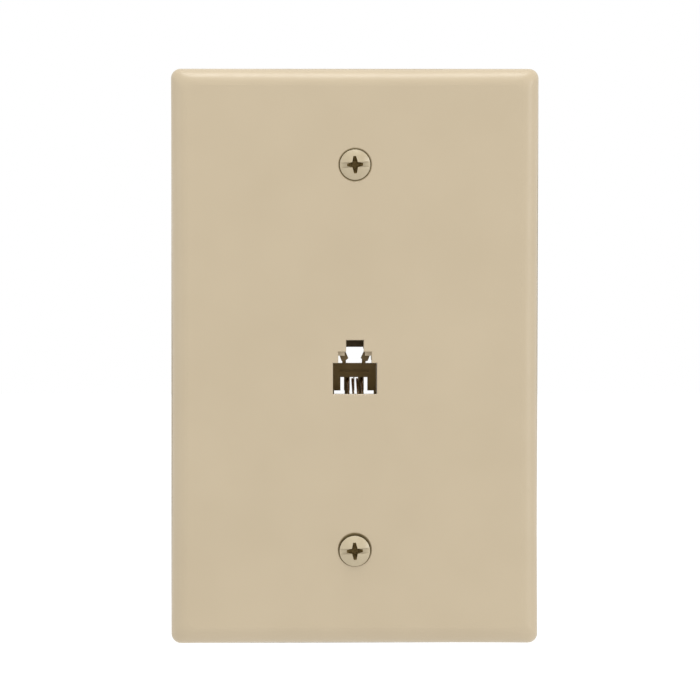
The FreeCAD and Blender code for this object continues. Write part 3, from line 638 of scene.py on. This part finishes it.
def threaded_shank(start, end):
    """Right-hand thread with narrow flat crests, run out at its start and pointed at its end."""
    steps = round((end - start) / THREAD_PITCH * 12)

    def law(y, radius, angle):
        phase = ((y - start) / THREAD_PITCH - angle / math.tau) % 1
        crest = min(1.0, max(0.0, (1 - abs(2 * phase - 1)) * 1.35 - 0.1))
        run_out = min(1.0, (y - start) / THREAD_PITCH)
        point = min(1.0, 0.55 + 0.45 * (end - y) / POINT_LENGTH)
        return (radius - THREAD_DEPTH * (1 - crest) * run_out) * point

    profile = [(start, 0)] + [(start + (end - start) * k / steps, THREAD_RADIUS) for k in range(steps + 1)]
    return turned(profile + [(end, 0)], 32, law)


def carve(piece, cutter):
    """Cuts the cutter out of a piece for good, and drops the cutter."""
    cut = piece.modifiers.new("cut", "BOOLEAN")
    cut.operation = "DIFFERENCE"
    cut.solver = "EXACT"
    cut.object = cutter
    carved = bpy.data.meshes.new_from_object(piece.evaluated_get(bpy.context.evaluated_depsgraph_get()))
    piece.modifiers.clear()
    piece.data = carved
    bpy.data.objects.remove(cutter)


def add_form(piece, form):
    """Joins a finished bmesh to a piece's mesh, shaded like the piece."""
    whole = bmesh.new()
    whole.from_mesh(piece.data)
    part = bpy.data.meshes.new("part")
    form.normal_update()
    for edge in form.edges:
        edge.smooth = edge.calc_face_angle(0.0) < math.radians(50)
    for face in form.faces:
        face.smooth = True
    form.to_mesh(part)
    form.free()
    whole.from_mesh(part)
    whole.to_mesh(piece.data)
    whole.free()
    bpy.data.meshes.remove(part)


def soft_edges(piece, width):
    """Rounds a piece's sharp edges by a real radius."""
    soft = piece.modifiers.new("soft_edges", "BEVEL")
    soft.width = width
    soft.segments = 2
    soft.limit_method = "ANGLE"
    soft.angle_limit = math.radians(40)
    soft.harden_normals = True


def slot_cutter(half_length, y0, y1, half_width, centre):
    """Bar across X that cuts a driver slot."""
    form = bmesh.new()
    bmesh.ops.create_cube(form, size=1)
    bmesh.ops.scale(form, verts=form.verts, vec=(2 * half_length, y1 - y0, 2 * half_width))
    move_form(form, centre + Vector((0, (y0 + y1) / 2, 0)))
    return form


for colour in LEAD_COLOURS:
    low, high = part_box(f"terminal_screw_{colour}")
    radius = (high.x - low.x) / 2
    axis = Vector(((low.x + high.x) / 2, 0, (low.z + high.z) / 2))
    base = high.y - TERMINAL_HEAD
    edge_y = high.y - TERMINAL_CROWN
    profile = [(base - 0.3 * MM, 0), (base - 0.3 * MM, THREAD_RADIUS), (base, THREAD_RADIUS)]
    profile += [(base, radius - 0.1 * MM), (base + 0.1 * MM, radius), (edge_y, radius)]
    for k in range(1, 7):
        turn = math.pi / 2 * k / 6
        height = edge_y + TERMINAL_CROWN * math.sin(turn)
        profile.append((height, radius - TERMINAL_CROWN * (1 - math.cos(turn))))
    profile.append((high.y, 0))
    head_form = move_form(turned(profile, 48), axis)
    screw = finished_piece(f"binding_screw_{colour}", head_form, zinc_steel, 30)
    bar = slot_cutter(radius + MM, high.y - TERMINAL_SLOT_DEPTH, high.y + MM, TERMINAL_SLOT_HALF, axis)
    carve(screw, finished_piece("slot_bar", bar, zinc_steel))
    soft_edges(screw, 0.06 * MM)
    add_form(screw, move_form(threaded_shank(low.y, base - 0.2 * MM), axis))
    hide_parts(f"terminal_screw_{colour}")
    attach(screw, f"terminal_screw_{colour}")


# ---------------------------------------------------------------------------
# Screw retainers. Thin washers punched from natural nylon and pushed over each mounting screw's
# thread, so that the screws stay in the plate. They are slightly cloudy.

def natural_nylon():
    """Undyed nylon sheet: milky, half dull, with light entering its edges."""
    material, tree, shader, place = new_finish(
        "natural_nylon", **{"IOR": 1.53, "Subsurface Weight": 0.35, "Subsurface Scale": 0.6 * MM}
    )
    tree.links.new(blotches(tree, place, 2 * MM, "#D2CCB9", "#DED9C9"), shader.inputs["Base Color"])
    tree.links.new(speckle(tree, place, 0.8 * MM, 0.4, 0.52), shader.inputs["Roughness"])
    grain = speckle(tree, place, 0.15 * MM, 0.0, 1.0)
    tree.links.new(relief(tree, grain, 0.006 * MM), shader.inputs["Normal"])
    return material


clear_nylon = natural_nylon()
for place_name in ("upper", "lower"):
    dress_node(f"screw_retainer_{place_name}", clear_nylon, 0.06 * MM)


# ---------------------------------------------------------------------------
# Mounting screws. Two captive number 6-32 oval heads of zinc-plated steel with a combination
# cross and slot recess. Only the heads are enamelled, and the inside of the cross is painted dark as shade.

HEAD_CROWN = 0.95 * MM
HEAD_LAND = 0.12 * MM
HEAD_SLOPE = math.radians(41)
NECK_RADIUS = 1.4 * MM
CROSS_REACH = 1.875 * MM
CROSS_TIP_HALF = 0.30 * MM
CROSS_ROOT_HALF = 0.60 * MM
CROSS_WALL = 0.75 * MM
CROSS_DEPTH = 1.9 * MM
DRIVER_SLOT_HALF = 0.575 * MM
DRIVER_SLOT_DEPTH = 0.9 * MM
RECESS_TURN = math.radians(2.4)
RETAINER_END_GAP = 0.1 * MM


def baked_enamel():
    """Ivory enamel sprayed and baked on steel: smooth gloss with a shallow orange-peel."""
    material, tree, shader, place = new_finish(
        "baked_enamel", **{"IOR": 1.5, "Coat Weight": 0.25, "Coat Roughness": 0.15}
    )
    tree.links.new(blotches(tree, place, 2 * MM, "#A7997D", "#AEA185"), shader.inputs["Base Color"])
    tree.links.new(speckle(tree, place, 1.0 * MM, 0.30, 0.40), shader.inputs["Roughness"])
    peel = speckle(tree, place, 0.3 * MM, 0.0, 1.0)
    tree.links.new(relief(tree, peel, 0.010 * MM), shader.inputs["Normal"])
    return material


def recess_painted_shade():
    """Painted shade for the inside of the driver recess: dark, brown and dull."""
    material, tree, shader, place = new_finish("recess_painted_shade", **{"IOR": 1.45, "Specular IOR Level": 0.2})
    tree.links.new(blotches(tree, place, 0.5 * MM, "#5A4A26", "#75613A"), shader.inputs["Base Color"])
    tree.links.new(speckle(tree, place, 0.3 * MM, 0.6, 0.8), shader.inputs["Roughness"])
    recess_bump = speckle(tree, place, 0.1 * MM, 0.0, 1.0)
    tree.links.new(relief(tree, recess_bump, 0.012 * MM), shader.inputs["Normal"])
    return material


def cross_outline(reach, tip, root):
    """Corners of a cross whose four wings narrow from their root at the middle to their tip."""
    quarter = [(reach, -tip), (reach, tip), (root, root)]
    corners = []
    for turn in range(4):
        spin = Matrix.Rotation(math.pi / 2 * turn, 2)
        corners += [spin @ Vector(corner) for corner in quarter]
    return corners


def cross_cutter(top):
    """Four-winged driver recess: upright walls first, then wings that slope in to a blunt point."""
    form = bmesh.new()
    levels = (
        (top - 0.2 * MM, CROSS_REACH, CROSS_TIP_HALF, CROSS_ROOT_HALF),
        (top + CROSS_WALL, CROSS_REACH, CROSS_TIP_HALF, CROSS_ROOT_HALF),
        (top + CROSS_DEPTH, CROSS_REACH * 0.42, CROSS_TIP_HALF * 0.6, CROSS_ROOT_HALF * 0.7),
    )
    rings = [
        [form.verts.new((x, y, z)) for x, z in cross_outline(reach, tip, root)]
        for y, reach, tip, root in levels
    ]
    count = len(rings[0])
    form.faces.new(rings[0])
    form.faces.new(rings[-1][::-1])
    for near, far in zip(rings, rings[1:]):
        for k in range(count):
            form.faces.new((near[k], far[k], far[(k + 1) % count], near[(k + 1) % count]))
    bmesh.ops.recalc_face_normals(form, faces=form.faces)
    return form


enamel = baked_enamel()
# dark brown painted shade for the inside of the driver recess
recess_shade = recess_painted_shade()
for place_name in ("upper", "lower"):
    low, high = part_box(f"mounting_screw_{place_name}")
    axis = Vector((0, 0, (low.z + high.z) / 2))
    radius = (high.x - low.x) / 2
    land = low.y + HEAD_CROWN
    rim = land + HEAD_LAND
    cone_end = rim + (radius - NECK_RADIUS) / math.tan(HEAD_SLOPE)
    neck_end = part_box(f"screw_retainer_{place_name}")[1].y + RETAINER_END_GAP
    ball = (radius ** 2 + HEAD_CROWN ** 2) / (2 * HEAD_CROWN)
    sweep = math.asin(radius / ball)
    profile = [(low.y, 0)]
    for k in range(1, 13):
        turn = sweep * k / 12
        profile.append((low.y + ball * (1 - math.cos(turn)), ball * math.sin(turn)))
    profile += [(rim, radius), (cone_end, NECK_RADIUS), (neck_end, NECK_RADIUS), (neck_end, 0)]
    screw = finished_piece(f"oval_head_screw_{place_name}", move_form(turned(profile, 64), axis), enamel, 30)
    spin = Matrix.Rotation(RECESS_TURN, 3, (0, -1, 0))
    cross = cross_cutter(low.y)
    slot_floor = low.y + DRIVER_SLOT_DEPTH
    bar = slot_cutter(radius + MM, low.y - MM, slot_floor, DRIVER_SLOT_HALF, Vector((0, 0, 0)))
    for number, form in enumerate((cross, bar)):
        bmesh.ops.rotate(form, verts=form.verts, cent=(0, 0, 0), matrix=spin)
        carve(screw, finished_piece(f"driver_{number}", move_form(form, axis), enamel))
    soft_edges(screw, 0.05 * MM)
    screw.data.materials.append(zinc_steel)
    screw.data.materials.append(recess_shade)
    # faces of the neck take the zinc, and faces down in the cross take the painted shade
    for face in screw.data.polygons:
        centre = face.center
        off_axis = math.hypot(centre.x, centre.z - axis.z)
        crown_y = low.y + ball - math.sqrt(ball ** 2 - min(off_axis, radius) ** 2)
        in_cross = off_axis < CROSS_REACH
        below_slot = centre.y > slot_floor + 0.03 * MM
        in_upright_wing = abs(centre.x) < CROSS_ROOT_HALF and off_axis > DRIVER_SLOT_HALF
        if centre.y > cone_end:
            face.material_index = 1
        elif in_cross and (below_slot or (in_upright_wing and centre.y > crown_y + 0.12 * MM)):
            face.material_index = 2
    add_form(screw, move_form(threaded_shank(neck_end, high.y), axis))
    for face in screw.data.polygons:
        if face.center.y > neck_end:
            face.material_index = 1
    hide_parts(f"mounting_screw_{place_name}")
    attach(screw, f"mounting_screw_{place_name}")


# ---------------------------------------------------------------------------
# Stage: a plain pale floor under plain soft light, and the camera square to the plate.

def soft_box(name, place, aim, width, height, power):
    """Rectangular lamp with a diffuser, pointed at a place."""
    lamp = bpy.data.lights.new(name, "AREA")
    lamp.shape = "RECTANGLE"
    lamp.size = width
    lamp.size_y = height
    lamp.energy = power
    holder = bpy.data.objects.new(name, lamp)
    holder.location = place
    holder.rotation_mode = "QUATERNION"
    holder.rotation_quaternion = (Vector(aim) - Vector(place)).to_track_quat("-Z", "Y")
    bpy.context.scene.collection.objects.link(holder)


FLOOR_DEPTH = 0.25
FLOOR_SIZE = 8.0
floor_mesh = bpy.data.meshes.new("floor")
half = FLOOR_SIZE / 2
floor_mesh.from_pydata(
    [(x, y, -FLOOR_DEPTH) for x, y in ((-half, -half), (half, -half), (half, half), (-half, half))],
    [], [(0, 1, 2, 3)],
)
floor = bpy.data.objects.new("floor", floor_mesh)
bpy.context.scene.collection.objects.link(floor)
paper, paper_tree, paper_shader, paper_place = new_finish("floor_paper", Roughness=0.9)
paper_shader.inputs["Base Color"].default_value = (0.3, 0.3, 0.3, 1)
paper_shader.inputs["Emission Color"].default_value = (1, 1, 1, 1)
paper_shader.inputs["Emission Strength"].default_value = 0.75
floor_mesh.materials.append(paper)

world = bpy.data.worlds.new("studio")
bpy.context.scene.world = world
world.use_nodes = True
world.node_tree.nodes["Background"].inputs["Color"].default_value = (1, 1, 1, 1)
world.node_tree.nodes["Background"].inputs["Strength"].default_value = 1.0
bpy.context.scene.view_settings.view_transform = "Standard"

soft_box("overhead_box", (0.0, -0.25, 1.2), (0, 0, 0), 0.8, 0.5, 9.0)
soft_box("side_box", (1.1, -0.7, 0.25), (0, 0, 0), 0.5, 0.7, 4.0)
soft_box("left_box", (-1.1, -0.5, 0.25), (0, 0, 0), 0.5, 0.7, 1.2)

CAMERA_DISTANCE = 1.2
CAMERA_LENS = 285.6
CAMERA_AZIMUTH = math.radians(-1.0)
CAMERA_ELEVATION = math.radians(3.0)
CAMERA_ROLL = math.radians(0.04)
AIM = Vector((-1.07 * MM, -6.5 * MM, 1.61 * MM))
camera = bpy.data.objects.new("camera", bpy.data.cameras.new("camera"))
bpy.context.scene.collection.objects.link(camera)
backwards = Vector((
    math.sin(CAMERA_AZIMUTH) * math.cos(CAMERA_ELEVATION),
    -math.cos(CAMERA_AZIMUTH) * math.cos(CAMERA_ELEVATION),
    math.sin(CAMERA_ELEVATION),
))
camera.location = AIM + backwards * CAMERA_DISTANCE
camera.rotation_mode = "QUATERNION"
level = (-backwards).to_track_quat("-Z", "Y")
camera.rotation_quaternion = Quaternion(backwards, CAMERA_ROLL) @ level
camera.data.lens = CAMERA_LENS
camera.data.sensor_width = 36.0
camera.data.clip_start = 0.05
camera.data.clip_end = 50.0
bpy.context.scene.camera = camera
